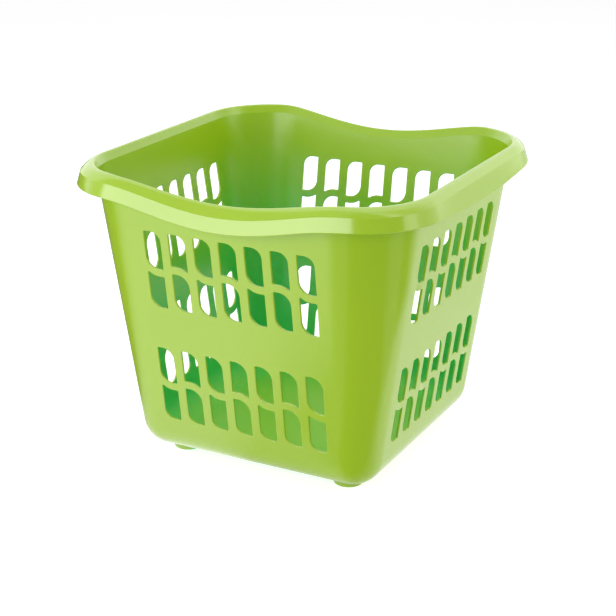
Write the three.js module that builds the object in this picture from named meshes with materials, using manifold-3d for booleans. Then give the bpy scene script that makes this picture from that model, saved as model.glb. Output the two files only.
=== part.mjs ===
// Square laundry basket, injection-moulded in one colour. Millimetres, +Z up.
// The origin is the middle of the footprint, on the ground. The front wall faces -Y and the right wall +X.
// Every member follows one cross-section, drawn as (out, up): out is measured from the square that joins
// the four upright corner axes, up from the ground. Sides run it straight, corners turn it about an axis.
import * as THREE from 'three';
import { mergeVertices } from 'three/addons/utils/BufferGeometryUtils.js';
import Module from 'manifold-3d';

const wasm = await Module();
wasm.setup();

// Plan
const SIDE_RUN = 208.5;          // length of the straight members of a side
const CORNER_RUN = 4;            // straight run at each end of a corner member
const FLOOR_CORNER = 2;          // corner radius of the flat floor
const JOIN_GAP = 0.3;            // clearance between members that meet

// Base
const FOOT_HEIGHT = 8;
const FOOT_RADIUS = 16;
const FOOT_EDGE = 2;             // rounding of a foot's lower edge
const FOOT_INSET = 10;           // from the corner axis to the foot's axis, along each side
const FLOOR_THICKNESS = 2.5;
const BASE_FILLET = 32;          // outer radius of the turn from floor to wall
const EDGE_RUN = 4;              // straight run of the base members up the wall

// Walls
const DRAFT_ANGLE = THREE.MathUtils.degToRad(8);
const WALL_THICKNESS = 2.5;
const PLAIN_BAND = 11.8;         // plain wall below the lower slots
const BELT_HEIGHT = 47.2;        // plain wall between the two slot bands
const TOP_BAND = 31;             // plain wall between the upper slots and the bead, at the dip of the rim

// Slots: each band has two rows, a leaf over or under a shorter slot, column by column in turn
const SLOT_WIDTH = 18.7;
const BAR_WIDTH = 10.3;
const SIDE_MARGIN = 6;           // least plain strip beside the outer columns
const LEAF_HEIGHT = 40.7;        // slot with two rounded corners
const SHORT_HEIGHT = 35.5;       // slot with one rounded corner, up to the level part of the bar
const ROW_BAR = 8.3;             // bar between the two rows of a band; it bends along the leaf's outline
const SLOT_ROUND = 13.5;         // radius of the rounded corners
const END_ROUND = 10.8;          // radius of those next to the rim and next to the base

// Rim
const DIP_DEPTH = 15.7;          // how far the rim dips in the middle of the front and the rear
const DIP_REACH = 130;           // from the middle of the dip to each end, which lies round the corner
const DIP_FULLNESS = 1.75;       // power of the dip's curve; less is fuller
const BEAD_LEG = 10;             // height of the bead's inner leg
const BEAD_ROUND = 2;            // rounding of the bead's inner top edge
const SLOPE_HEIGHT = 8.5;        // height of the slope from the inside of the wall to that edge
const SLOPE_ANGLE = THREE.MathUtils.degToRad(26);
const BEAD_WIDTH = 11.7;         // from the outer wall line to the crease
const BEAD_HEIGHT = 7.5;         // from the top of the bead down to the crease
const BEAD_THICKNESS = 2.4;
const SKIRT_DROP = 14;           // from the crease down to the lower edge
const CREASE_DIP = 3;            // how much further the crease and the skirt dip than the top of the bead
const GRIP_DROP = 7.5;           // how much further down the skirt reaches in the middle of left and right
const GRIP_REACH = 150;          // from the middle of such a side to where that ends, round the corner
const SKIRT_FLARE = 5.4;         // outward sweep of the skirt
const SKIRT_THICKNESS = 2.2;
const CREASE_SWELL = 3.5;        // how far the crease stands out of a round corner
const HEM_SWELL = 1.5;           // how far the lower edge stands out of a round corner

// Finish
const LIME = 0xa3c93a;
const ROUGHNESS = 0.35;

// Fineness of the faceted curves
const CORNER_STEPS = 8;
const DIP_STEPS = 12;
const FILLET_STEPS = 6;
const SLOT_STEPS = 3;
const BEAD_STEPS = 4;
const FOOT_STEPS = 20;
const FOOT_EDGE_STEPS = 2;

// Sizes that follow from the ones above
const sideHalf = SIDE_RUN / 2;
const axis = sideHalf + CORNER_RUN;
const lean = Math.tan(DRAFT_ANGLE);
const upright = Math.cos(DRAFT_ANGLE);
const filletUp = FOOT_HEIGHT + BASE_FILLET;
const wallStart = new THREE.Vector2(
  FLOOR_CORNER + BASE_FILLET * upright,
  filletUp - BASE_FILLET * Math.sin(DRAFT_ANGLE),
);
const bandHeight = LEAF_HEIGHT + ROW_BAR + SHORT_HEIGHT;
const lowerBand = wallStart.y + EDGE_RUN * upright + PLAIN_BAND;
const upperBand = lowerBand + bandHeight + BELT_HEIGHT;
const wallTop = upperBand + bandHeight + TOP_BAND + DIP_DEPTH;
const rimTop = wallTop + BEAD_LEG;
const rowBar = ROW_BAR / upright;
const slotRound = Math.min(SLOT_ROUND, SLOT_WIDTH, LEAF_HEIGHT / 2, SHORT_HEIGHT / 2);
const endRound = Math.min(END_ROUND, SLOT_WIDTH, LEAF_HEIGHT / 2, SHORT_HEIGHT / 2);
const wallOut = (up) => wallStart.x + (up - wallStart.y) * lean;
const rimOut = wallOut(rimTop);
const curve = (share) => Math.pow(Math.max(0, 1 - share ** 2), DIP_FULLNESS);
const dipShare = (run) => curve(run / DIP_REACH);
const gripShare = (run) => curve(run / GRIP_REACH);
const dipAt = (run) => DIP_DEPTH * dipShare(run);

const point = (out, up) => new THREE.Vector2(out, up);

// Distance up the slope from the start of the wall to a height
const along = (up) => (up - wallStart.y) / upright;

// Point of the cross-section at a distance up the slope and a depth behind the outer face
function wallPoint(distance, depth) {
  const tilt = Math.sin(DRAFT_ANGLE);
  return point(
    wallStart.x + distance * tilt - depth * upright,
    wallStart.y + distance * upright + depth * tilt,
  );
}

// Points of an elliptic arc, ends included
function arc(centre, across, upward, fromAngle, toAngle, steps) {
  const points = [];
  for (let i = 0; i <= steps; i += 1) {
    const angle = fromAngle + (toAngle - fromAngle) * i / steps;
    points.push(point(centre.x + across * Math.cos(angle), centre.y + upward * Math.sin(angle)));
  }
  return points;
}

// Closed solid that carries a cross-section through a row of stations
function sweep(section, stations) {
  const outline = THREE.ShapeUtils.isClockWise(section) ? [...section].reverse() : section;
  const count = outline.length;
  const positions = stations.flatMap((place) => outline.flatMap((p) => place(p.x, p.y)));
  const index = [];
  for (let i = 0; i < stations.length - 1; i += 1) {
    for (let j = 0; j < count; j += 1) {
      const a = i * count + j;
      const b = i * count + (j + 1) % count;
      index.push(a, a + count, b, b, a + count, b + count);
    }
  }
  const last = (stations.length - 1) * count;
  for (const [a, b, c] of THREE.ShapeUtils.triangulateShape(outline, [])) {
    const turned = (outline[b].x - outline[a].x) * (outline[c].y - outline[a].y)
      < (outline[c].x - outline[a].x) * (outline[b].y - outline[a].y);
    const [p, q] = turned ? [c, b] : [b, c];
    index.push(a, p, q, last + a, last + q, last + p);
  }
  const geometry = new THREE.BufferGeometry();
  geometry.setAttribute('position', new THREE.Float32BufferAttribute(positions, 3));
  geometry.setIndex(index);
  geometry.computeVertexNormals();
  return geometry;
}

// How far down the skirt a height lies, from 0 at the crease to 1 at the lower edge
const skirtShare = (up) => THREE.MathUtils.clamp((rimTop - BEAD_HEIGHT - up) / SKIRT_DROP, 0, 1);

// How far out on the bead a point lies, from 0 above the wall to 1 at the crease
const beadShare = (out) => THREE.MathUtils.clamp((out - rimOut) / BEAD_WIDTH, 0, 1);

// How far out on the bead a point lies, from 0 above the wall to 1 at the inner end of the crease
const creaseShare = (out) => THREE.MathUtils.clamp((out - rimOut) / (BEAD_WIDTH - BEAD_THICKNESS), 0, 1);

// How much further than the top of the bead the points of the bead and of the skirt are lowered
const noSag = () => 0;
const beadSag = (out, up, dip) => CREASE_DIP * dip * creaseShare(out) ** 2;
const skirtSag = (out, up, dip, grip) => CREASE_DIP * dip + GRIP_DROP * grip * skirtShare(up);

// Stations along a straight side; the dip slides the section down along the leaning wall
function sideStations(dipped, steps, sag) {
  const end = sideHalf - JOIN_GAP;
  return Array.from({ length: steps + 1 }, (_, i) => {
    const x = -end + 2 * end * i / steps;
    const dip = dipped ? dipShare(x) : 0;
    const grip = dipped ? 0 : gripShare(x);
    const slide = DIP_DEPTH * dip;
    return (out, up) => [x, -(axis + out - slide * lean), up - slide - sag(out, up, dip, grip)];
  });
}

// Stations round a corner, with its short straight runs. The dip of the side at its first end, or else at its
// last, runs out on it where the member follows the rim. A swell makes it squarer than a round corner.
function cornerStations(dipsFirst, follows, sag, swell) {
  const quarter = Math.PI / 2;
  const length = 2 * CORNER_RUN + rimOut * quarter;
  const station = (angle, back, ahead, run) => {
    const dip = dipShare(sideHalf + (dipsFirst ? run : length - run));
    const grip = gripShare(sideHalf + (dipsFirst ? length - run : run));
    const fullness = Math.sin(2 * angle) ** 2;
    return (out, up) => {
      const slide = DIP_DEPTH * dip * follows(up);
      const reach = out - slide * lean + swell(out, up) * fullness;
      return [
        axis + reach * Math.sin(angle) - back,
        -axis - reach * Math.cos(angle) + ahead,
        up - slide - sag(out, up, dip, grip),
      ];
    };
  };
  const turn = Array.from({ length: CORNER_STEPS + 1 }, (_, i) => {
    const angle = quarter * i / CORNER_STEPS;
    return station(angle, 0, 0, CORNER_RUN + rimOut * angle);
  });
  return [station(0, CORNER_RUN, 0, 0), ...turn, station(quarter, 0, CORNER_RUN, length)];
}

// Cross-section of the rounded turn from floor to wall
function baseSection() {
  const centre = point(FLOOR_CORNER, filletUp);
  const down = -Math.PI / 2;
  const outer = arc(centre, BASE_FILLET, BASE_FILLET, down, -DRAFT_ANGLE, FILLET_STEPS);
  const inner = outer.map((p, i) => {
    const wall = FLOOR_THICKNESS + (WALL_THICKNESS - FLOOR_THICKNESS) * i / FILLET_STEPS;
    return p.clone().sub(centre).multiplyScalar(1 - wall / BASE_FILLET).add(centre);
  });
  outer.push(wallPoint(EDGE_RUN, 0));
  inner.push(wallPoint(EDGE_RUN, WALL_THICKNESS));
  return [...outer, ...inner.reverse()];
}

// Cross-section of the plain wall, from the base members to the bead
function postSection() {
  const low = EDGE_RUN + JOIN_GAP;
  const high = along(wallTop) - JOIN_GAP;
  return [
    wallPoint(low, 0),
    wallPoint(high, 0),
    wallPoint(high, WALL_THICKNESS),
    wallPoint(low, WALL_THICKNESS),
  ];
}

// Cross-section of the bead: a leg that goes on from the wall, then slopes and rolls over to the crease
function beadSection() {
  const slopeLow = rimTop - SLOPE_HEIGHT;
  const slopeFoot = point(wallOut(slopeLow) - WALL_THICKNESS / upright, slopeLow);
  const slopeRise = SLOPE_HEIGHT - BEAD_ROUND * (1 - Math.sin(SLOPE_ANGLE));
  const slopeRun = slopeRise * Math.tan(SLOPE_ANGLE);
  const crown = point(slopeFoot.x + slopeRun + BEAD_ROUND * Math.cos(SLOPE_ANGLE), rimTop);
  const reach = rimOut + BEAD_WIDTH - crown.x;
  const right = Math.PI / 2;
  const turn = point(crown.x, rimTop - BEAD_ROUND);
  const innerEdge = arc(turn, BEAD_ROUND, BEAD_ROUND, 2 * right - SLOPE_ANGLE, right, BEAD_STEPS);
  const crease = point(crown.x, rimTop - BEAD_HEIGHT);
  const over = Array.from({ length: BEAD_STEPS + 1 }, (_, i) => {
    const share = i / BEAD_STEPS;
    return point(crown.x + reach * share, rimTop - BEAD_HEIGHT * share ** 2);
  });
  const under = arc(crease, reach - BEAD_THICKNESS, BEAD_HEIGHT - BEAD_THICKNESS, 0, right, BEAD_STEPS);
  return [
    wallPoint(along(wallTop), WALL_THICKNESS),
    slopeFoot,
    ...innerEdge,
    ...over.slice(1),
    ...under,
    wallPoint(along(wallTop), 0),
  ];
}

// Cross-section of the skirt, flared outward from the crease to its lower edge
function skirtSection() {
  const crease = point(rimOut + BEAD_WIDTH, rimTop - BEAD_HEIGHT - JOIN_GAP);
  const hem = point(crease.x + SKIRT_FLARE, crease.y - SKIRT_DROP);
  return [
    crease,
    hem,
    point(hem.x - SKIRT_THICKNESS, hem.y),
    point(crease.x - SKIRT_THICKNESS, crease.y),
  ];
}

// Closed mesh as a solid that can be cut
function toSolid(geometry) {
  geometry.deleteAttribute('normal');
  geometry.deleteAttribute('uv');
  const merged = mergeVertices(geometry);
  return new wasm.Manifold(new wasm.Mesh({
    numProp: 3,
    vertProperties: merged.attributes.position.array,
    triVerts: Uint32Array.from(merged.index.array),
  }));
}

// Solid as a mesh again
function toGeometry(solid) {
  const { vertProperties, triVerts } = solid.getMesh();
  const geometry = new THREE.BufferGeometry();
  geometry.setAttribute('position', new THREE.BufferAttribute(vertProperties, 3));
  geometry.setIndex(new THREE.BufferAttribute(triVerts, 1));
  geometry.computeVertexNormals();
  return geometry;
}

// Outline of one slot, centred on x; seen from outside, its upper right and lower left corners are rounded.
// An end without a radius faces a leaf across the bar and bends round the leaf's corner.
function slotShape(x, low, high, topRadius, footRadius) {
  const left = x - SLOT_WIDTH / 2;
  const right = x + SLOT_WIDTH / 2;
  const quarter = Math.PI / 2;
  const bend = slotRound + rowBar;
  const swing = Math.acos(slotRound / bend);
  const outline = new THREE.Shape();
  if (footRadius) {
    outline.absarc(left + footRadius, low + footRadius, footRadius, 2 * quarter, 3 * quarter, false);
    outline.lineTo(right, low);
  } else {
    outline.absarc(right - slotRound, low - bend, bend, quarter, swing, true);
  }
  if (topRadius) {
    outline.absarc(right - topRadius, high - topRadius, topRadius, 0, quarter, false);
    outline.lineTo(left, high);
  } else {
    outline.lineTo(right, high);
    outline.absarc(left + slotRound, high + bend, bend, 3 * quarter, 2 * quarter + swing, true);
  }
  if (!footRadius) {
    outline.lineTo(left, low);
  }
  outline.closePath();
  return outline;
}

// The slots of one wall, in distances along the slope above the start of the wall
function slotShapes() {
  const pitch = SLOT_WIDTH + BAR_WIDTH;
  const columns = Math.floor((SIDE_RUN - 2 * SIDE_MARGIN - SLOT_WIDTH) / pitch) + 1;
  const shapes = [];
  for (let column = 0; column < columns; column += 1) {
    const x = (column - (columns - 1) / 2) * pitch;
    const leafOnTop = column % 2 === 0;
    const upperHeight = leafOnTop ? LEAF_HEIGHT : SHORT_HEIGHT;
    for (const foot of [lowerBand, upperBand]) {
      const top = along(foot + bandHeight);
      const upperFoot = top - upperHeight / upright;
      const topRadius = foot === upperBand ? endRound : slotRound;
      const footRadius = foot === lowerBand ? endRound : slotRound;
      shapes.push(slotShape(x, upperFoot, top, topRadius, leafOnTop ? slotRound : 0));
      shapes.push(slotShape(x, along(foot), upperFoot - rowBar, leafOnTop ? 0 : slotRound, footRadius));
    }
  }
  return shapes;
}

// Flat leaning wall with its slots; its top edge follows the rim
function wallGeometry(dipped) {
  const end = sideHalf - JOIN_GAP;
  const low = EDGE_RUN + JOIN_GAP;
  const high = (x) => along(wallTop - (dipped ? dipAt(x) : 0)) - JOIN_GAP;
  const steps = dipped ? DIP_STEPS : 1;
  const shape = new THREE.Shape();
  shape.moveTo(-end, low);
  shape.lineTo(end, low);
  for (let i = 0; i <= steps; i += 1) {
    const x = end - 2 * end * i / steps;
    shape.lineTo(x, high(x));
  }
  shape.closePath();
  const plate = new THREE.ExtrudeGeometry(shape, { depth: WALL_THICKNESS, bevelEnabled: false });
  const cut = { depth: 3 * WALL_THICKNESS, bevelEnabled: false, curveSegments: SLOT_STEPS };
  let wall = toSolid(plate);
  for (const slot of slotShapes()) {
    const cutter = new THREE.ExtrudeGeometry(slot, cut).translate(0, 0, -WALL_THICKNESS);
    wall = wall.subtract(toSolid(cutter));
  }
  return toGeometry(wall);
}

// Flat floor with small corner radii
function floorGeometry() {
  const half = axis + FLOOR_CORNER - JOIN_GAP;
  const radius = Math.max(FLOOR_CORNER - JOIN_GAP, JOIN_GAP);
  const shape = new THREE.Shape();
  const right = Math.PI / 2;
  for (let k = 0; k < 4; k += 1) {
    const cornerX = [1, -1, -1, 1][k] * (half - radius);
    const cornerY = [1, 1, -1, -1][k] * (half - radius);
    shape.absarc(cornerX, cornerY, radius, k * right, (k + 1) * right, false);
  }
  shape.closePath();
  return new THREE.ExtrudeGeometry(shape, {
    depth: FLOOR_THICKNESS,
    bevelEnabled: false,
    curveSegments: SLOT_STEPS,
  });
}

// Round pad with a softened lower edge, standing on the ground
function footGeometry() {
  const edge = Math.min(FOOT_EDGE, FOOT_HEIGHT / 2);
  const height = FOOT_HEIGHT - JOIN_GAP;
  const turn = arc(point(FOOT_RADIUS - edge, edge), edge, edge, -Math.PI / 2, 0, FOOT_EDGE_STEPS);
  const profile = [point(0, 0), ...turn, point(FOOT_RADIUS, height), point(0, height)];
  return new THREE.LatheGeometry(profile, FOOT_STEPS).rotateX(Math.PI / 2);
}

const basket = new THREE.Group();

function addMember(group, name, geometry) {
  const material = new THREE.MeshStandardMaterial({ color: LIME, roughness: ROUGHNESS, metalness: 0 });
  const mesh = new THREE.Mesh(geometry, material);
  mesh.name = name;
  group.add(mesh);
  return mesh;
}

function quarterTurn(k) {
  const group = new THREE.Group();
  group.rotation.z = k * Math.PI / 2;
  basket.add(group);
  return group;
}

const floor = addMember(basket, 'floor_panel', floorGeometry());
floor.position.z = FOOT_HEIGHT;

['front', 'right', 'rear', 'left'].forEach((side, k) => {
  const group = quarterTurn(k);
  const dipped = side === 'front' || side === 'rear';
  addMember(group, `base_edge_${side}`, sweep(baseSection(), sideStations(false, 1, noSag)));
  const wall = addMember(group, `lattice_wall_${side}`, wallGeometry(dipped));
  wall.rotation.x = Math.PI / 2 + DRAFT_ANGLE;
  wall.position.y = -(axis + wallStart.x) + WALL_THICKNESS * upright;
  wall.position.z = wallStart.y + WALL_THICKNESS * Math.sin(DRAFT_ANGLE);
  const beadStations = sideStations(dipped, dipped ? DIP_STEPS : 1, beadSag);
  addMember(group, `rim_bead_${side}`, sweep(beadSection(), beadStations));
  addMember(group, `rim_skirt_${side}`, sweep(skirtSection(), sideStations(dipped, DIP_STEPS, skirtSag)));
});

['front_right', 'rear_right', 'rear_left', 'front_left'].forEach((corner, k) => {
  const group = quarterTurn(k);
  const foot = addMember(group, `foot_${corner}`, footGeometry());
  foot.position.set(axis - FOOT_INSET, -(axis - FOOT_INSET), 0);
  const dipsFirst = k % 2 === 0;
  const all = () => 1;
  const none = () => 0;
  const topEdge = (up) => (up > upperBand ? 1 : 0);
  const beadSwell = (out) => CREASE_SWELL * beadShare(out);
  const skirtSwell = (out, up) => THREE.MathUtils.lerp(CREASE_SWELL, HEM_SWELL, skirtShare(up));
  const baseStations = cornerStations(dipsFirst, none, noSag, none);
  const postStations = cornerStations(dipsFirst, topEdge, noSag, none);
  const beadStations = cornerStations(dipsFirst, all, beadSag, beadSwell);
  const skirtStations = cornerStations(dipsFirst, all, skirtSag, skirtSwell);
  addMember(group, `base_corner_${corner}`, sweep(baseSection(), baseStations));
  addMember(group, `corner_post_${corner}`, sweep(postSection(), postStations));
  addMember(group, `rim_bead_corner_${corner}`, sweep(beadSection(), beadStations));
  addMember(group, `rim_skirt_corner_${corner}`, sweep(skirtSection(), skirtStations));
});

export default basket;
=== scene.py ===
"""Square laundry basket of injection-moulded polypropylene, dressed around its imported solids.

Metres, +Z up. The front wall faces -Y and the right wall +X. Every member follows one cross-section, drawn
as (out, up): out is measured from the square that joins the four upright corner axes, up from the ground.
"""
import math
import bmesh
import bpy
from mathutils import Matrix, Vector


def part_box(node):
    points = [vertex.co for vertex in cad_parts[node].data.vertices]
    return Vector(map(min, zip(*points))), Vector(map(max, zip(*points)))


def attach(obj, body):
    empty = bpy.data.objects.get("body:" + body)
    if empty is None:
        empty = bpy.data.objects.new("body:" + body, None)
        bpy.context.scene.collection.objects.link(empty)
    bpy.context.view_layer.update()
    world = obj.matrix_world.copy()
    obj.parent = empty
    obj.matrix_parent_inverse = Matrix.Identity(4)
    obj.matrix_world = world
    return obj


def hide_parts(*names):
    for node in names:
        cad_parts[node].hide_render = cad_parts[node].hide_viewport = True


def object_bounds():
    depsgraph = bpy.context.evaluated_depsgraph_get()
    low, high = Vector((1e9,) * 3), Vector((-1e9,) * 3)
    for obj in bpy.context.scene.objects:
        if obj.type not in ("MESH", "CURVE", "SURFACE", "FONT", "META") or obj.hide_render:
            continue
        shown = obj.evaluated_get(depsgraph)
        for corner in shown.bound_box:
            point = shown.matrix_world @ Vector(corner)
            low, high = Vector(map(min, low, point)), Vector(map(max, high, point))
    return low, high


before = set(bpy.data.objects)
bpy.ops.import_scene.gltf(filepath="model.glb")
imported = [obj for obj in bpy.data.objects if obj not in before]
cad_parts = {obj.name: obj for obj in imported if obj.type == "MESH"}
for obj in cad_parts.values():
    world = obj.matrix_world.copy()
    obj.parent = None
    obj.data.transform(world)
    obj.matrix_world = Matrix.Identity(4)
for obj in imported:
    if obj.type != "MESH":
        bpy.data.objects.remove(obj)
CAD_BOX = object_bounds()

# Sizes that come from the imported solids
FLOOR_LOW, FLOOR_HIGH = (corner.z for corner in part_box("floor_panel"))
FOOT_LOW, FOOT_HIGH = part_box("foot_front_right")
SIDE_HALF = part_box("corner_post_front_right")[0].x
RIM_TOP = CAD_BOX[1].z
RIM_REACH = CAD_BOX[1].x

# Plan and base
CORNER_RUN = 0.004        # straight run at each end of a corner member
FLOOR_CORNER = 0.002      # corner radius of the flat floor
BASE_FILLET = 0.032       # outer radius of the turn from floor to wall
EDGE_RUN = 0.004          # straight run of the base members up the wall
FOOT_EDGE = 0.002         # rounding of a foot's lower edge

# Walls
DRAFT_ANGLE = math.radians(8)
WALL_THICKNESS = 0.0025
PLAIN_BAND = 0.0118       # plain wall below the lower slots
BELT_HEIGHT = 0.0472      # plain wall between the two slot bands

# Slots
SLOT_WIDTH = 0.0187
SLOT_PITCH = 0.029
COLUMNS = 7
LEAF_HEIGHT = 0.0407      # slot with two rounded corners
SHORT_HEIGHT = 0.0355     # slot with one rounded corner, up to the level part of the bar
ROW_BAR = 0.0083          # bar between the two rows of a band; it bends along the leaf's outline
SLOT_ROUND = 0.0135       # radius of the rounded corners
END_ROUND = 0.0108        # radius of those next to the rim and next to the base
SLOT_TIP = 0.0009         # radius of the pointed corners
SLOT_EDGE = 0.0009        # rounding of the slots' rims

# Rim
DIP_DEPTH = 0.0157        # how far the rim dips in the middle of the front and the rear
DIP_REACH = 0.130         # from the middle of the dip to each end, which lies round the corner
DIP_FULLNESS = 1.75       # power of the dip's curve; less is fuller
BEAD_LEG = 0.010          # height of the bead's inner leg
BEAD_ROUND = 0.002        # rounding of the bead's inner top edge
SLOPE_HEIGHT = 0.0085     # height of the slope from the inside of the wall to that edge
SLOPE_ANGLE = math.radians(26)
BEAD_HEIGHT = 0.0075      # from the top of the bead down to the crease
BEAD_THICKNESS = 0.0024
SKIRT_DROP = 0.0142       # from the crease down to the lower edge
CREASE_DIP = 0.003        # how much further the crease and the skirt dip than the top of the bead
GRIP_DROP = 0.0075        # how much further down the skirt reaches in the middle of left and right
GRIP_REACH = 0.150        # from the middle of such a side to where that ends, round the corner
SKIRT_FLARE = 0.0054      # outward sweep of the skirt
SKIRT_THICKNESS = 0.0022
CREASE_SWELL = 0.0035     # how far the crease stands out of a round corner
HEM_SWELL = 0.0015        # how far the lower edge stands out of a round corner

# Sizes that follow from the ones above
AXIS = SIDE_HALF + CORNER_RUN
LEAN = math.tan(DRAFT_ANGLE)
FILLET_UP = FLOOR_LOW + BASE_FILLET
WALL_OUT = FLOOR_CORNER + BASE_FILLET * math.cos(DRAFT_ANGLE)
WALL_UP = FILLET_UP - BASE_FILLET * math.sin(DRAFT_ANGLE)
WALL_TOP = RIM_TOP - BEAD_LEG
RIM_OUT = WALL_OUT + (RIM_TOP - WALL_UP) * LEAN
CREASE_OUT = RIM_REACH - AXIS - SKIRT_FLARE
CREASE_UP = RIM_TOP - BEAD_HEIGHT
BAND_HEIGHT = LEAF_HEIGHT + ROW_BAR + SHORT_HEIGHT
LOWER_BAND = WALL_UP + EDGE_RUN * math.cos(DRAFT_ANGLE) + PLAIN_BAND
UPPER_BAND = LOWER_BAND + BAND_HEIGHT + BELT_HEIGHT

# Fineness of the curves
CORNER_STEPS = 32
DIP_STEPS = 64
ROUND_STEPS = 10
EDGE_STEPS = 4
TIP_STEPS = 4             # last steps of a bent edge, run straight to leave room for the tip's rounding
SMOOTH_ANGLE = math.radians(35)
BEAD_ANGLE = math.radians(14)   # keeps the line at the foot of the bead's slope

# Camera, as the photograph was taken; a pixel measure is in its frame of 616 by 616
IMAGE_SIDE = 616
FOCAL_PIXELS = 1494
VIEW_AZIMUTH = math.radians(27.636)
VIEW_ELEVATION = math.radians(19.932)
VIEW_DISTANCE = 1.69166
VIEW_SIDEWAYS = -0.00102
VIEW_RISE = 0.13645
SENSOR_WIDTH = 36         # millimetres

# Plastic
LIME_DARK, LIME_LIGHT = "#97BC0B", "#9DC010"
LIME_PAINTED_SHADE = "#0CC456"     # painted shade: the deeper green painted where the lime is closed in
CLOSED_IN, OPEN = 0.26, 0.51   # shares of free space around a spot at which the painted shade is full, or gone
OPEN_REACH = 0.5          # how far that space goes
FACES_IN, FACES_OUT = -0.1, 0.3   # how much a face looks outward where it counts as inside, or outside
CLOUD_SIZE = 0.09         # faint clouds in the pigment
FLOW_SIZE = 0.03          # waves that the melt's flow leaves in the skin
FLOW_DEPTH = 0.0008
GRAIN_SIZE = 0.0025       # grain of the mould, drawn about ten times coarser than it is so that it shows
GRAIN_DEPTH = 0.00004
OUTER_ROUGHNESS = 0.13
INNER_ROUGHNESS = 0.2     # inside of the walls
LOW_ROUGHNESS = 0.6       # inside, down at the floor
GRAIN_ROUGHNESS = 0.08    # what the grain adds
LOW_INSIDE, HIGH_INSIDE = 0.03, 0.12   # heights between which the inside turns from rough to smooth

# Studio sizes and light
# Panels: name, compass angle, height angle, distance, width, height, radiance and whether it is mirrored
PANELS = (
    ("key_panel", -17, 20, 1.5, 1.9, 0.6, 3.15, True),
    ("right_panel", 125, 15, 1.5, 2.0, 1.1, 1.9, False),
    ("left_panel", -105, 15, 1.5, 2.0, 1.1, 0.8, False),
    ("top_panel", 30, 82, 1.9, 1.4, 1.4, 2.7, False),
)
FLOOR_SPAN = 60
PAPER = "#D6D6D6"
PAPER_WHITE = 0.76        # glow that makes the lit paper white to the camera
PAPER_GLOW = 0.4          # glow that lights the basket
SKY_WHITE = 1.0           # the same two for the surroundings
SKY_LIGHT = 0.36

# Bright parts of the studio as the plastic mirrors them: compass angle, reach to each side, blur and strength
FLOOR_GLOW = (
    (-32, 24, 18, 1.65),
    (0, 22, 5, 0.45),
    (86, 13, 5, 0.45),
    (148, 27, 13, 1.05),
    (165, 36, 16, 0.85),
)
SKY_GLOW = (
    (215, 75, 14, 2.1),
    (165, 30, 10, 1.6),
    (140, 50, 5, 1.1),
    (101, 12, 2, 2.4),
    (-40, 40, 15, 1.0),
)
DIM_FLOOR = 0.15          # strength of the rest
DIM_SKY = 0.5
# Pools of light on the floor close to the basket, mirrored low on its walls: place, reach, blur and strength
FLOOR_POOLS = (
    ((0.15, 0.15, 0), 0.28, 0.035, 1.1),
    ((-0.05, -0.05, 0), 0.19, 0.02, 0.9),
)

CORNERS = ("front_right", "rear_right", "rear_left", "front_left")


# Shapes of the cross-section

def clamp(share):
    """A share held between 0 and 1."""
    return min(max(share, 0.0), 1.0)


def curve(share):
    """Share of the full depth of a dip or a grip, by the share of its reach."""
    return max(0.0, 1 - share ** 2) ** DIP_FULLNESS


def dip_share(run):
    """Share of the full dip at a distance along the rim from the middle of a dipped side."""
    return curve(run / DIP_REACH)


def grip_share(run):
    """Share of the full grip at a distance along the rim from the middle of another side."""
    return curve(run / GRIP_REACH)


def stations(steps):
    """Places along a side, closer together towards its ends."""
    return [-SIDE_HALF * math.cos(math.pi * i / steps) for i in range(steps + 1)]


def up_slope(up):
    """Distance up the slope of the wall at a height."""
    return (up - WALL_UP) / math.cos(DRAFT_ANGLE)


def wall_point(distance, depth):
    """Point at a distance up the slope and a depth behind the outer face of the wall."""
    sine, cosine = math.sin(DRAFT_ANGLE), math.cos(DRAFT_ANGLE)
    return WALL_OUT + distance * sine - depth * cosine, WALL_UP + distance * cosine + depth * sine


def arc(centre, across, upward, start, stop, steps):
    """Points of an elliptic arc, ends included, with the angles in degrees."""
    angles = [math.radians(start + (stop - start) * i / steps) for i in range(steps + 1)]
    return [(centre[0] + across * math.cos(a), centre[1] + upward * math.sin(a)) for a in angles]


def base_section():
    """Rounded turn from the floor to the wall."""
    centre = (FLOOR_CORNER, FILLET_UP)
    lean = -math.degrees(DRAFT_ANGLE)
    inner = BASE_FILLET - WALL_THICKNESS
    outside = arc(centre, BASE_FILLET, BASE_FILLET, -90, lean, ROUND_STEPS)
    inside = arc(centre, inner, inner, lean, -90, ROUND_STEPS)
    return [*outside, wall_point(EDGE_RUN, 0), wall_point(EDGE_RUN, WALL_THICKNESS), *inside]


def post_section():
    """Plain wall from the base members to the bead."""
    high = up_slope(WALL_TOP)
    return [wall_point(EDGE_RUN, 0), wall_point(high, 0),
            wall_point(high, WALL_THICKNESS), wall_point(EDGE_RUN, WALL_THICKNESS)]


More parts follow.
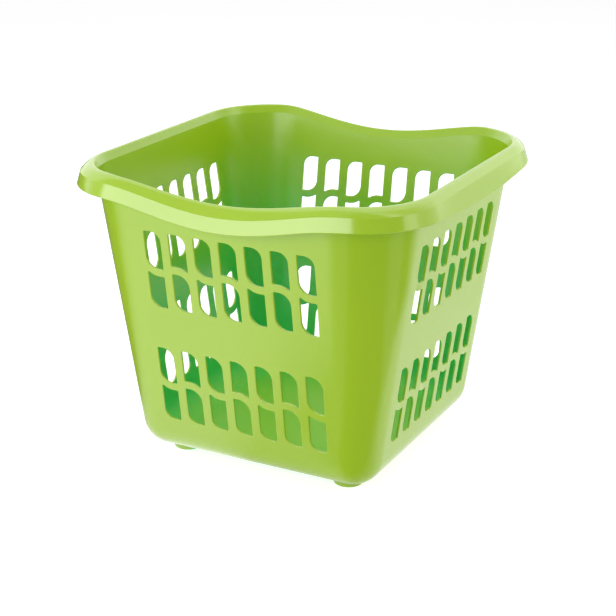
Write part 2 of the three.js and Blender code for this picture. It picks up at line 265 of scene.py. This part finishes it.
def bead_section():
    """Leg that goes on from the wall, then slopes and rolls over to the crease."""
    slope_low = RIM_TOP - SLOPE_HEIGHT
    slope_foot = RIM_OUT - SLOPE_HEIGHT * LEAN - WALL_THICKNESS / math.cos(DRAFT_ANGLE)
    slope_rise = SLOPE_HEIGHT - BEAD_ROUND * (1 - math.sin(SLOPE_ANGLE))
    crown = slope_foot + slope_rise * math.tan(SLOPE_ANGLE) + BEAD_ROUND * math.cos(SLOPE_ANGLE)
    reach = CREASE_OUT - crown
    turn = (crown, RIM_TOP - BEAD_ROUND)
    under = BEAD_HEIGHT - BEAD_THICKNESS
    shares = [1 - i / ROUND_STEPS for i in range(ROUND_STEPS + 1)]
    return [
        wall_point(up_slope(WALL_TOP), 0),
        *arc((crown, CREASE_UP), reach - BEAD_THICKNESS, under, 90, 0, ROUND_STEPS),
        *((crown + reach * share, RIM_TOP - BEAD_HEIGHT * share ** 2) for share in shares),
        *arc(turn, BEAD_ROUND, BEAD_ROUND, 90, 180 - math.degrees(SLOPE_ANGLE), ROUND_STEPS)[1:],
        (slope_foot, slope_low),
        wall_point(up_slope(WALL_TOP), WALL_THICKNESS),
    ]


def skirt_section():
    """Flat drop from the crease, flared outward to a rounded lower edge."""
    half = SKIRT_THICKNESS / 2
    middle = (CREASE_OUT + SKIRT_FLARE - half, CREASE_UP - SKIRT_DROP + half)
    hem = arc(middle, half, half, -180, 0, 2 * EDGE_STEPS)
    return [(CREASE_OUT - SKIRT_THICKNESS, CREASE_UP), *hem, (CREASE_OUT, CREASE_UP)]


def side_place(x, out, up):
    """Where a point of the cross-section lies on the front side."""
    return Vector((x, -(AXIS + out), up))


def direction(azimuth, elevation):
    """Unit vector from the basket towards a compass angle and height, both in radians."""
    return Vector((math.sin(azimuth) * math.cos(elevation), -math.cos(azimuth) * math.cos(elevation),
                   math.sin(elevation)))


# Shifts (out, up) that shape the members: dip and grip are shares of their depths, fullness is 1 halfway
# round a corner; the dip slides a member down along the leaning wall

def no_shift(out, up, dip, grip, fullness):
    """A plain member."""
    return 0.0, 0.0


def post_shift(out, up, dip, grip, fullness):
    """A post's upper edge follows the rim."""
    slide = DIP_DEPTH * dip if up > UPPER_BAND else 0.0
    return -slide * LEAN, -slide


def bead_shift(out, up, dip, grip, fullness):
    """The bead's crease dips further than its top and stands out of the corners."""
    slide = DIP_DEPTH * dip
    sag = CREASE_DIP * dip * clamp((out - RIM_OUT) / (CREASE_OUT - BEAD_THICKNESS - RIM_OUT)) ** 2
    swell = CREASE_SWELL * clamp((out - RIM_OUT) / (CREASE_OUT - RIM_OUT))
    return swell * fullness - slide * LEAN, -slide - sag


def skirt_shift(out, up, dip, grip, fullness):
    """The skirt hangs from the crease; its lower edge reaches down at the grips."""
    slide = DIP_DEPTH * dip
    low = clamp((CREASE_UP - up) / SKIRT_DROP)
    swell = CREASE_SWELL + (HEM_SWELL - CREASE_SWELL) * low
    return swell * fullness - slide * LEAN, -slide - CREASE_DIP * dip - GRIP_DROP * grip * low


# Modelling steps

def trace(name, points):
    """A flat face drawn corner by corner from a plane that is merged to its first corner."""
    bpy.ops.object.select_all(action="DESELECT")
    bpy.ops.mesh.primitive_plane_add(size=SLOT_EDGE, location=points[0])
    bpy.context.object.name = name
    bpy.ops.object.mode_set(mode="EDIT")
    bpy.ops.mesh.merge(type="CENTER")
    for before, after in zip(points, points[1:]):
        bpy.ops.mesh.extrude_vertices_move(TRANSFORM_OT_translate={"value": after - before})
    bpy.ops.mesh.select_all(action="SELECT")
    bpy.ops.mesh.edge_face_add()


def pull(x, y, z):
    """Extrudes what is selected."""
    bpy.ops.mesh.extrude_region_move(TRANSFORM_OT_translate={"value": (x, y, z)})


def pick(piece):
    """Selects one piece alone."""
    bpy.ops.object.select_all(action="DESELECT")
    piece.select_set(True)
    bpy.context.view_layer.objects.active = piece


def settle(piece):
    """Puts the place, turn and size of a piece into its mesh."""
    pick(piece)
    bpy.ops.object.transform_apply(location=True, rotation=True, scale=True)
    return piece


def close_up():
    """Leaves edit mode with the faces pointing out."""
    bpy.ops.mesh.select_all(action="SELECT")
    bpy.ops.mesh.normals_make_consistent(inside=False)
    bpy.ops.object.mode_set(mode="OBJECT")
    return settle(bpy.context.object)


def apply_modifier(piece, kind, **settings):
    """Adds a modifier with its settings and applies it."""
    pick(piece)
    modifier = piece.modifiers.new(kind, kind)
    for setting, value in settings.items():
        setattr(modifier, setting, value)
    bpy.ops.object.modifier_apply(modifier=modifier.name)


def smooth(piece, angle=SMOOTH_ANGLE):
    """Smooth shading that keeps the flat faces flat and the corners sharp."""
    pick(piece)
    bpy.ops.object.shade_smooth_by_angle(angle=angle)
    apply_modifier(piece, "WEIGHTED_NORMAL", keep_sharp=True)


def side_piece(name, section, dipped, shift, steps):
    """The cross-section carried along the front side, then shaped by the dip or by the grip."""
    places = stations(steps)
    trace(name, [side_place(places[0], out, up) for out, up in section])
    for before, after in zip(places, places[1:]):
        pull(after - before, 0, 0)
    piece = close_up()
    for vertex in piece.data.vertices:
        x, y, up = vertex.co
        dip, grip = (dip_share(x), 0.0) if dipped else (0.0, grip_share(x))
        further, higher = shift(-y - AXIS, up, dip, grip, 0.0)
        vertex.co += Vector((0, -further, higher))
    return piece


def corner_piece(name, section, dips_first, shift):
    """The cross-section turned about the front right corner's axis, with its short straight runs.
    The dip of the side at its first end, or else at its last, runs out on it."""
    trace(name, [side_place(SIDE_HALF, out, up) for out, up in section])
    pull(CORNER_RUN, 0, 0)
    bpy.ops.mesh.spin(steps=CORNER_STEPS, angle=math.pi / 2, center=(AXIS, -AXIS, 0), axis=(0, 0, -1))
    pull(0, CORNER_RUN, 0)
    piece = close_up()
    for vertex in piece.data.vertices:
        x, y, up = vertex.co
        turn = math.atan2(max(x - AXIS, 0.0), max(-y - AXIS, 0.0))
        outward = direction(turn, 0)
        out = outward.dot(Vector((x - AXIS, y + AXIS, 0)))
        run = RIM_OUT * turn - max(AXIS - x, 0.0) + max(y + AXIS, 0.0)
        ahead = RIM_OUT * math.pi / 2 - run
        dip = dip_share(AXIS + (run if dips_first else ahead))
        grip = grip_share(AXIS + (ahead if dips_first else run))
        further, higher = shift(out, up, dip, grip, math.sin(2 * turn) ** 2)
        vertex.co += outward * further + Vector((0, 0, higher))
    return piece


def rounded_outline(corners, grow):
    """Outline of a polygon moved outward by grow; its corners run anticlockwise, each with its radius."""
    places = [Vector(place) for place, radius in corners]
    points = []
    for i, (place, radius) in enumerate(corners):
        before = (places[i] - places[i - 1]).normalized()
        after = (places[(i + 1) % len(corners)] - places[i]).normalized()
        turn = math.atan2(before.x * after.y - before.y * after.x, before.dot(after))
        tip = places[i] + (before - after) * (grow / math.sin(turn))
        if not radius:
            points.append(tip)
            continue
        swept = radius + grow
        inward = Vector((-before.y, before.x))
        centre = tip - before * (swept * math.tan(turn / 2)) + inward * swept
        steps = ROUND_STEPS if radius > SLOT_TIP else EDGE_STEPS
        for k in range(steps + 1):
            swing = turn * k / steps
            points.append(centre - inward * (swept * math.cos(swing)) + before * (swept * math.sin(swing)))
    return points


def bent_end(start, bend):
    """Corners of a slot's end that runs from a pointed corner along a bend to another."""
    return [(start, SLOT_TIP), *((place, 0) for place in bend[:-TIP_STEPS]), (bend[-1], SLOT_TIP)]


def slot_outline(low, high, top_radius, foot_radius):
    """Corners of one slot; an end without a radius faces a leaf across the bar and bends round its corner."""
    half = SLOT_WIDTH / 2
    bend = SLOT_ROUND + ROW_BAR / math.cos(DRAFT_ANGLE)
    swing = math.degrees(math.acos(SLOT_ROUND / bend))
    if foot_radius:
        foot = [((-half, low), foot_radius), ((half, low), SLOT_TIP)]
    else:
        around = arc((half - SLOT_ROUND, low - bend), bend, bend, 90, swing, ROUND_STEPS)
        foot = bent_end((-half, low), around)
    if top_radius:
        top = [((half, high), top_radius), ((-half, high), SLOT_TIP)]
    else:
        around = arc((SLOT_ROUND - half, high + bend), bend, bend, 270, 180 + swing, ROUND_STEPS)
        top = bent_end((half, high), around)
    return foot + top


def slot_cutter(name, outline):
    """Solid that cuts one slot with rounded rims; y runs from the middle of the wall."""
    face = -WALL_THICKNESS / 2
    trace(name, [Vector((p.x, face - SLOT_EDGE, p.y)) for p in rounded_outline(outline, SLOT_EDGE)])
    pull(0, SLOT_EDGE, 0)
    angles = [math.pi / 2 * i / EDGE_STEPS for i in range(EDGE_STEPS + 1)]
    for before, after in zip(angles, angles[1:]):
        inward = SLOT_EDGE * (math.sin(after) - math.sin(before))
        deeper = SLOT_EDGE * (math.cos(before) - math.cos(after))
        bpy.ops.mesh.inset(thickness=inward, depth=deeper)
    pull(0, WALL_THICKNESS / 2 - SLOT_EDGE, 0)
    bpy.ops.mesh.delete(type="ONLY_FACE")
    bpy.ops.object.mode_set(mode="OBJECT")
    cutter = settle(bpy.context.object)
    apply_modifier(cutter, "MIRROR", use_axis=(False, True, False),
                   merge_threshold=SLOT_EDGE / EDGE_STEPS / 10)
    return cutter


def repeat(cutter, first, count):
    """Copies a cutter along every second column from the first."""
    cutter.location.x = (first - (COLUMNS - 1) / 2) * SLOT_PITCH
    settle(cutter)
    apply_modifier(cutter, "ARRAY", count=count, use_relative_offset=False, use_constant_offset=True,
                   constant_offset_displace=(2 * SLOT_PITCH, 0, 0))


def slot_pattern():
    """All slots of a wall as one cutter; columns have a leaf on top and a leaf below in turn."""
    cutters = []
    bar = ROW_BAR / math.cos(DRAFT_ANGLE)
    bands = ((LOWER_BAND, SLOT_ROUND, END_ROUND), (UPPER_BAND, END_ROUND, SLOT_ROUND))
    columns = ((0, LEAF_HEIGHT, SLOT_ROUND, 0), (1, SHORT_HEIGHT, 0, SLOT_ROUND))
    for band, top_radius, foot_radius in bands:
        foot, top = up_slope(band), up_slope(band + BAND_HEIGHT)
        for first, upper_height, above_bar, below_bar in columns:
            upper_foot = top - upper_height / math.cos(DRAFT_ANGLE)
            upper = slot_cutter("upper_slot", slot_outline(upper_foot, top, top_radius, above_bar))
            lower = slot_cutter("lower_slot", slot_outline(foot, upper_foot - bar, below_bar, foot_radius))
            for cutter in (upper, lower):
                repeat(cutter, first, (COLUMNS + 1 - first) // 2)
                cutters.append(cutter)
    bpy.ops.object.select_all(action="DESELECT")
    for cutter in cutters:
        cutter.select_set(True)
    bpy.ops.object.join()
    bpy.ops.object.mode_set(mode="EDIT")
    return close_up()


def lattice_wall(name, pattern, dipped):
    """Flat leaning wall of the front side with its slots; its top edge follows the rim."""
    depth, steps = (DIP_DEPTH, DIP_STEPS) if dipped else (0.0, 1)
    tops = [(x, up_slope(WALL_TOP - depth * dip_share(x))) for x in stations(steps)]
    outline = [(SIDE_HALF, EDGE_RUN), (-SIDE_HALF, EDGE_RUN), *tops]
    face = -WALL_THICKNESS / 2
    trace(name, [Vector((x, face, distance)) for x, distance in outline])
    pull(0, WALL_THICKNESS, 0)
    wall = close_up()
    apply_modifier(wall, "BOOLEAN", operation="DIFFERENCE", object=pattern, solver="EXACT")
    wall.rotation_euler.x = DRAFT_ANGLE
    middle = wall_point(0, WALL_THICKNESS / 2)
    wall.location = side_place(0, *middle)
    return settle(wall)


def floor_panel(name):
    """Flat floor with small corner radii."""
    half = AXIS + FLOOR_CORNER
    corners = [((x * half, y * half), FLOOR_CORNER) for x, y in ((-1, -1), (1, -1), (1, 1), (-1, 1))]
    trace(name, [Vector((p.x, p.y, FLOOR_LOW)) for p in rounded_outline(corners, 0)])
    pull(0, 0, FLOOR_HIGH - FLOOR_LOW)
    return close_up()


def foot(name):
    """Low round pad under the front right corner, with a softened lower edge."""
    middle = (FOOT_LOW + FOOT_HIGH) / 2
    radius = (FOOT_HIGH.x - FOOT_LOW.x) / 2
    bpy.ops.object.select_all(action="DESELECT")
    bpy.ops.mesh.primitive_cylinder_add(vertices=2 * CORNER_STEPS, radius=radius, depth=FLOOR_LOW,
                                        location=(middle.x, middle.y, FLOOR_LOW / 2))
    bpy.context.object.name = name
    bpy.ops.object.mode_set(mode="EDIT")
    bpy.ops.mesh.select_all(action="DESELECT")
    mesh = bmesh.from_edit_mesh(bpy.context.object.data)
    bpy.ops.mesh.select_mode(type="EDGE")
    for edge in mesh.edges:
        edge.select_set(all(v.co.z < 0 for v in edge.verts))
    bpy.ops.mesh.bevel(offset=FOOT_EDGE, segments=EDGE_STEPS, affect="EDGES")
    bpy.ops.mesh.select_mode(type="VERT")
    return close_up()


def quarter_copy(piece, name, quarters):
    """A copy with its own mesh, turned about the basket's middle."""
    pick(piece)
    bpy.ops.object.duplicate()
    copy = bpy.context.object
    copy.name = name
    copy.rotation_euler.z = quarters * math.pi / 2
    return settle(copy)


# Materials

def linear(hex_colour):
    """Linear colour of an sRGB hex value."""
    channels = [int(hex_colour[i:i + 2], 16) / 255 for i in (1, 3, 5)]
    return [c / 12.92 if c <= 0.04045 else ((c + 0.055) / 1.055) ** 2.4 for c in channels] + [1.0]


def add_node(tree, kind, settings=None, inputs=None):
    """Adds a node with its settings; an input is a plain value or another node's output."""
    node = tree.nodes.new(kind)
    for setting, value in (settings or {}).items():
        setattr(node, setting, value)
    for socket, value in (inputs or {}).items():
        if isinstance(value, bpy.types.NodeSocket):
            tree.links.new(value, node.inputs[socket])
        else:
            node.inputs[socket].default_value = value
    return node


def new_material(name):
    """An empty material and the tree that its nodes go in."""
    material = bpy.data.materials.new(name)
    material.use_nodes = True
    material.node_tree.nodes.clear()
    return material, material.node_tree


def level_direction(tree, vector):
    """The level part of a vector, at length 1."""
    level = add_node(tree, "ShaderNodeVectorMath", {"operation": "MULTIPLY"}, {0: vector, 1: (1, 1, 0)})
    level = add_node(tree, "ShaderNodeVectorMath", {"operation": "NORMALIZE"}, {0: level.outputs["Vector"]})
    return level.outputs["Vector"]


def moulded_polypropylene():
    """Injection-moulded polypropylene, pigmented lime green: a smooth outer skin that mirrors bright panels,
    a more satin inside, roughest down at the floor, and painted shade: a deeper green painted on the body
    where it is closed in, as light gets there only from its own walls."""
    material, tree = new_material("moulded_polypropylene_lime")
    place = add_node(tree, "ShaderNodeTexCoord").outputs["Object"]
    clouds = add_node(tree, "ShaderNodeTexNoise",
                      inputs={"Vector": place, "Scale": 1 / CLOUD_SIZE, "Detail": 2.0})
    flow = add_node(tree, "ShaderNodeTexNoise",
                    inputs={"Vector": place, "Scale": 1 / FLOW_SIZE, "Detail": 1.0})
    grain = add_node(tree, "ShaderNodeTexNoise",
                     inputs={"Vector": place, "Scale": 1 / GRAIN_SIZE, "Detail": 2.0})

    # 1 on faces that look away from the basket's middle, 0 on those inside
    normal = add_node(tree, "ShaderNodeNewGeometry").outputs["Normal"]
    outward = add_node(tree, "ShaderNodeVectorMath", {"operation": "DOT_PRODUCT"},
                       {0: level_direction(tree, place), 1: normal})
    outside = add_node(tree, "ShaderNodeMapRange", inputs={
        "Value": outward.outputs["Value"],
        "From Min": FACES_IN,
        "From Max": FACES_OUT,
    })

    # Colour
    lime = add_node(tree, "ShaderNodeMix", {"data_type": "RGBA"},
                    {"Factor": clouds.outputs["Fac"], "A": linear(LIME_DARK), "B": linear(LIME_LIGHT)})
    # Painted shade: on inside faces with little free space around them, the colour turns to the painted
    # deeper green
    openness = add_node(tree, "ShaderNodeAmbientOcclusion", {"samples": 16}, {"Distance": OPEN_REACH})
    share = add_node(tree, "ShaderNodeMapRange", {"interpolation_type": "SMOOTHSTEP"},
                     {"Value": openness.outputs["AO"], "From Min": CLOSED_IN, "From Max": OPEN})
    open_share = add_node(tree, "ShaderNodeMath", {"operation": "MAXIMUM"},
                          {0: share.outputs["Result"], 1: outside.outputs["Result"]})
    colour = add_node(tree, "ShaderNodeMix", {"data_type": "RGBA"},
                      {"Factor": open_share.outputs[0], "A": linear(LIME_PAINTED_SHADE), "B": lime.outputs["Result"]})

    # Roughness
    height = add_node(tree, "ShaderNodeSeparateXYZ", inputs={0: place}).outputs["Z"]
    inside = add_node(tree, "ShaderNodeMapRange", inputs={
        "Value": height,
        "From Min": LOW_INSIDE,
        "From Max": HIGH_INSIDE,
        "To Min": LOW_ROUGHNESS,
        "To Max": INNER_ROUGHNESS,
    })
    side = add_node(tree, "ShaderNodeMix", {"data_type": "FLOAT"}, {
        "Factor": outside.outputs["Result"],
        "A": inside.outputs["Result"],
        "B": OUTER_ROUGHNESS,
    })
    gloss = add_node(tree, "ShaderNodeMath", {"operation": "MULTIPLY_ADD"},
                     {0: grain.outputs["Fac"], 1: GRAIN_ROUGHNESS, 2: side.outputs["Result"]})

    # Bump
    wavy = add_node(tree, "ShaderNodeBump",
                    inputs={"Height": flow.outputs["Fac"], "Strength": 0.35, "Distance": FLOW_DEPTH})
    skin = add_node(tree, "ShaderNodeBump", inputs={
        "Height": grain.outputs["Fac"],
        "Strength": 0.15,
        "Distance": GRAIN_DEPTH,
        "Normal": wavy.outputs["Normal"],
    })
    shader = add_node(tree, "ShaderNodeBsdfPrincipled", inputs={
        "Base Color": colour.outputs["Result"],
        "Roughness": gloss.outputs[0],
        "IOR": 1.49,
        "Specular IOR Level": 1.0,
        "Normal": skin.outputs["Normal"],
    })
    add_node(tree, "ShaderNodeOutputMaterial", inputs={"Surface": shader.outputs["BSDF"]})
    return material


def mirrored_glow(tree, vector, parts, glow):
    """Strength of a background as the plastic mirrors it, by compass direction."""
    level = level_direction(tree, vector)
    for azimuth, reach, blur, strength in parts:
        facing = add_node(tree, "ShaderNodeVectorMath", {"operation": "DOT_PRODUCT"},
                          {0: level, 1: direction(math.radians(azimuth), 0)})
        bright = add_node(tree, "ShaderNodeMapRange", inputs={
            "Value": facing.outputs["Value"],
            "From Min": math.cos(math.radians(reach + blur)),
            "From Max": math.cos(math.radians(reach - blur)),
            "To Max": strength,
        })
        glow = add_node(tree, "ShaderNodeMath", {"operation": "MAXIMUM"},
                        {0: bright.outputs["Result"], 1: glow}).outputs[0]
    return glow


def mirrored_ray(tree, path):
    """1 where a background is seen by way of the plastic, else 0."""
    return add_node(tree, "ShaderNodeMath", {"operation": "MAXIMUM"},
                    {0: path.outputs["Is Glossy Ray"], 1: path.outputs["Is Transmission Ray"]}).outputs[0]


def white_sweep():
    """Matt pale paper, plain white to the camera with the shadow kept; mirrored, it has bright parts."""
    material, tree = new_material("white_paper")
    path = add_node(tree, "ShaderNodeLightPath")
    place = add_node(tree, "ShaderNodeTexCoord").outputs["Object"]
    white = add_node(tree, "ShaderNodeMix", {"data_type": "FLOAT"},
                     {"Factor": path.outputs["Is Camera Ray"], "A": PAPER_GLOW, "B": PAPER_WHITE})
    glow = add_node(tree, "ShaderNodeEmission", inputs={"Strength": white.outputs["Result"]})
    paper = add_node(tree, "ShaderNodeBsdfDiffuse", inputs={"Color": linear(PAPER)})
    lit = add_node(tree, "ShaderNodeAddShader", inputs={0: paper.outputs[0], 1: glow.outputs[0]})
    strength = mirrored_glow(tree, place, FLOOR_GLOW, DIM_FLOOR)
    for middle, reach, blur, brightness in FLOOR_POOLS:
        away = add_node(tree, "ShaderNodeVectorMath", {"operation": "DISTANCE"}, {0: place, 1: middle})
        pool = add_node(tree, "ShaderNodeMapRange", inputs={
            "Value": away.outputs["Value"],
            "From Min": reach + blur,
            "From Max": reach - blur,
            "To Max": brightness,
        })
        strength = add_node(tree, "ShaderNodeMath", {"operation": "MAXIMUM"},
                            {0: pool.outputs["Result"], 1: strength}).outputs[0]
    mirrored = add_node(tree, "ShaderNodeEmission", inputs={"Strength": strength})
    both = add_node(tree, "ShaderNodeMixShader", inputs={
        0: mirrored_ray(tree, path), 1: lit.outputs[0], 2: mirrored.outputs[0]})
    add_node(tree, "ShaderNodeOutputMaterial", inputs={"Surface": both.outputs[0]})
    return material


# Studio

def add_camera():
    """The camera at the photograph's angle and framing."""
    back = direction(VIEW_AZIMUTH, VIEW_ELEVATION)
    right = Vector((math.cos(VIEW_AZIMUTH), math.sin(VIEW_AZIMUTH), 0))
    up = back.cross(right)
    lens = bpy.data.cameras.new("camera")
    lens.sensor_width = SENSOR_WIDTH
    lens.lens = SENSOR_WIDTH * FOCAL_PIXELS / IMAGE_SIDE
    camera = bpy.data.objects.new("camera", lens)
    eye = back * VIEW_DISTANCE + right * VIEW_SIDEWAYS + up * VIEW_RISE
    camera.matrix_world = Matrix.Translation(eye) @ Matrix((right, up, back)).transposed().to_4x4()
    bpy.context.scene.collection.objects.link(camera)
    bpy.context.scene.camera = camera


def add_panel(name, azimuth, elevation, distance, width, height, radiance, mirrored):
    """A soft light panel that faces the middle of the basket."""
    lamp = bpy.data.lights.new(name, "AREA")
    lamp.shape = "RECTANGLE"
    lamp.size, lamp.size_y = width, height
    lamp.energy = radiance * math.pi * width * height
    panel = bpy.data.objects.new(name, lamp)
    towards = direction(math.radians(azimuth), math.radians(elevation))
    panel.location = Vector((0, 0, RIM_TOP / 2)) + towards * distance
    panel.rotation_euler = towards.to_track_quat("Z", "Y").to_euler()
    panel.visible_glossy = mirrored
    bpy.context.scene.collection.objects.link(panel)


def add_studio():
    """Floor, panels and surroundings."""
    bpy.ops.object.select_all(action="DESELECT")
    bpy.ops.mesh.primitive_plane_add(size=FLOOR_SPAN)
    floor = bpy.context.object
    floor.name = "floor"
    floor.data.materials.append(white_sweep())
    for panel in PANELS:
        add_panel(*panel)
    world = bpy.data.worlds.new("surroundings")
    world.use_nodes = True
    tree = world.node_tree
    tree.nodes.clear()
    path = add_node(tree, "ShaderNodeLightPath")
    way = add_node(tree, "ShaderNodeTexCoord").outputs["Generated"]
    plain = add_node(tree, "ShaderNodeMix", {"data_type": "FLOAT"},
                     {"Factor": path.outputs["Is Camera Ray"], "A": SKY_LIGHT, "B": SKY_WHITE})
    strength = add_node(tree, "ShaderNodeMix", {"data_type": "FLOAT"}, {
        "Factor": mirrored_ray(tree, path),
        "A": plain.outputs["Result"],
        "B": mirrored_glow(tree, way, SKY_GLOW, DIM_SKY),
    })
    sky = add_node(tree, "ShaderNodeBackground", inputs={"Strength": strength.outputs["Result"]})
    add_node(tree, "ShaderNodeOutputWorld", inputs={"Surface": sky.outputs[0]})
    bpy.context.scene.world = world
    bpy.context.scene.view_settings.view_transform = "Standard"


# The basket

def basket_pieces():
    """One finished piece for each member of the moulding, by the name of the solid it replaces."""
    pieces = {"floor_panel": floor_panel("floor_panel_moulded")}
    pattern = slot_pattern()
    sides = {
        "base_edge": lambda name, dipped: side_piece(name, base_section(), dipped, no_shift, 1),
        "lattice_wall": lambda name, dipped: lattice_wall(name, pattern, dipped),
        "rim_bead": lambda name, dipped: side_piece(name, bead_section(), dipped, bead_shift,
                                                    DIP_STEPS if dipped else 1),
        "rim_skirt": lambda name, dipped: side_piece(name, skirt_section(), dipped, skirt_shift, DIP_STEPS),
    }
    corners = {
        "foot": lambda name, first: foot(name),
        "base_corner": lambda name, first: corner_piece(name, base_section(), first, no_shift),
        "corner_post": lambda name, first: corner_piece(name, post_section(), first, post_shift),
        "rim_bead_corner": lambda name, first: corner_piece(name, bead_section(), first, bead_shift),
        "rim_skirt_corner": lambda name, first: corner_piece(name, skirt_section(), first, skirt_shift),
    }
    for member, make in sides.items():
        front = make(f"{member}_front_moulded", True)
        right = make("spare", False)
        for piece in (front, right):
            smooth(piece, BEAD_ANGLE if "bead" in member else SMOOTH_ANGLE)
        pieces[f"{member}_front"] = front
        pieces[f"{member}_rear"] = quarter_copy(front, f"{member}_rear_moulded", 2)
        pieces[f"{member}_left"] = quarter_copy(right, f"{member}_left_moulded", 3)
        pieces[f"{member}_right"] = quarter_copy(right, f"{member}_right_moulded", 1)
        bpy.data.objects.remove(right)
    for member, make in corners.items():
        for dips_first in (True, False):
            model = make("spare", dips_first)
            smooth(model, BEAD_ANGLE if "bead" in member else SMOOTH_ANGLE)
            for quarters, corner in enumerate(CORNERS):
                if dips_first == (quarters % 2 == 0):
                    pieces[f"{member}_{corner}"] = quarter_copy(model, f"{member}_{corner}_moulded", quarters)
            bpy.data.objects.remove(model)
    smooth(pieces["floor_panel"])
    bpy.data.objects.remove(pattern)
    return pieces


add_camera()
add_studio()
plastic = moulded_polypropylene()
for node, piece in basket_pieces().items():
    piece.data.materials.clear()
    piece.data.materials.append(plastic)
    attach(piece, "root")
    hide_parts(node)
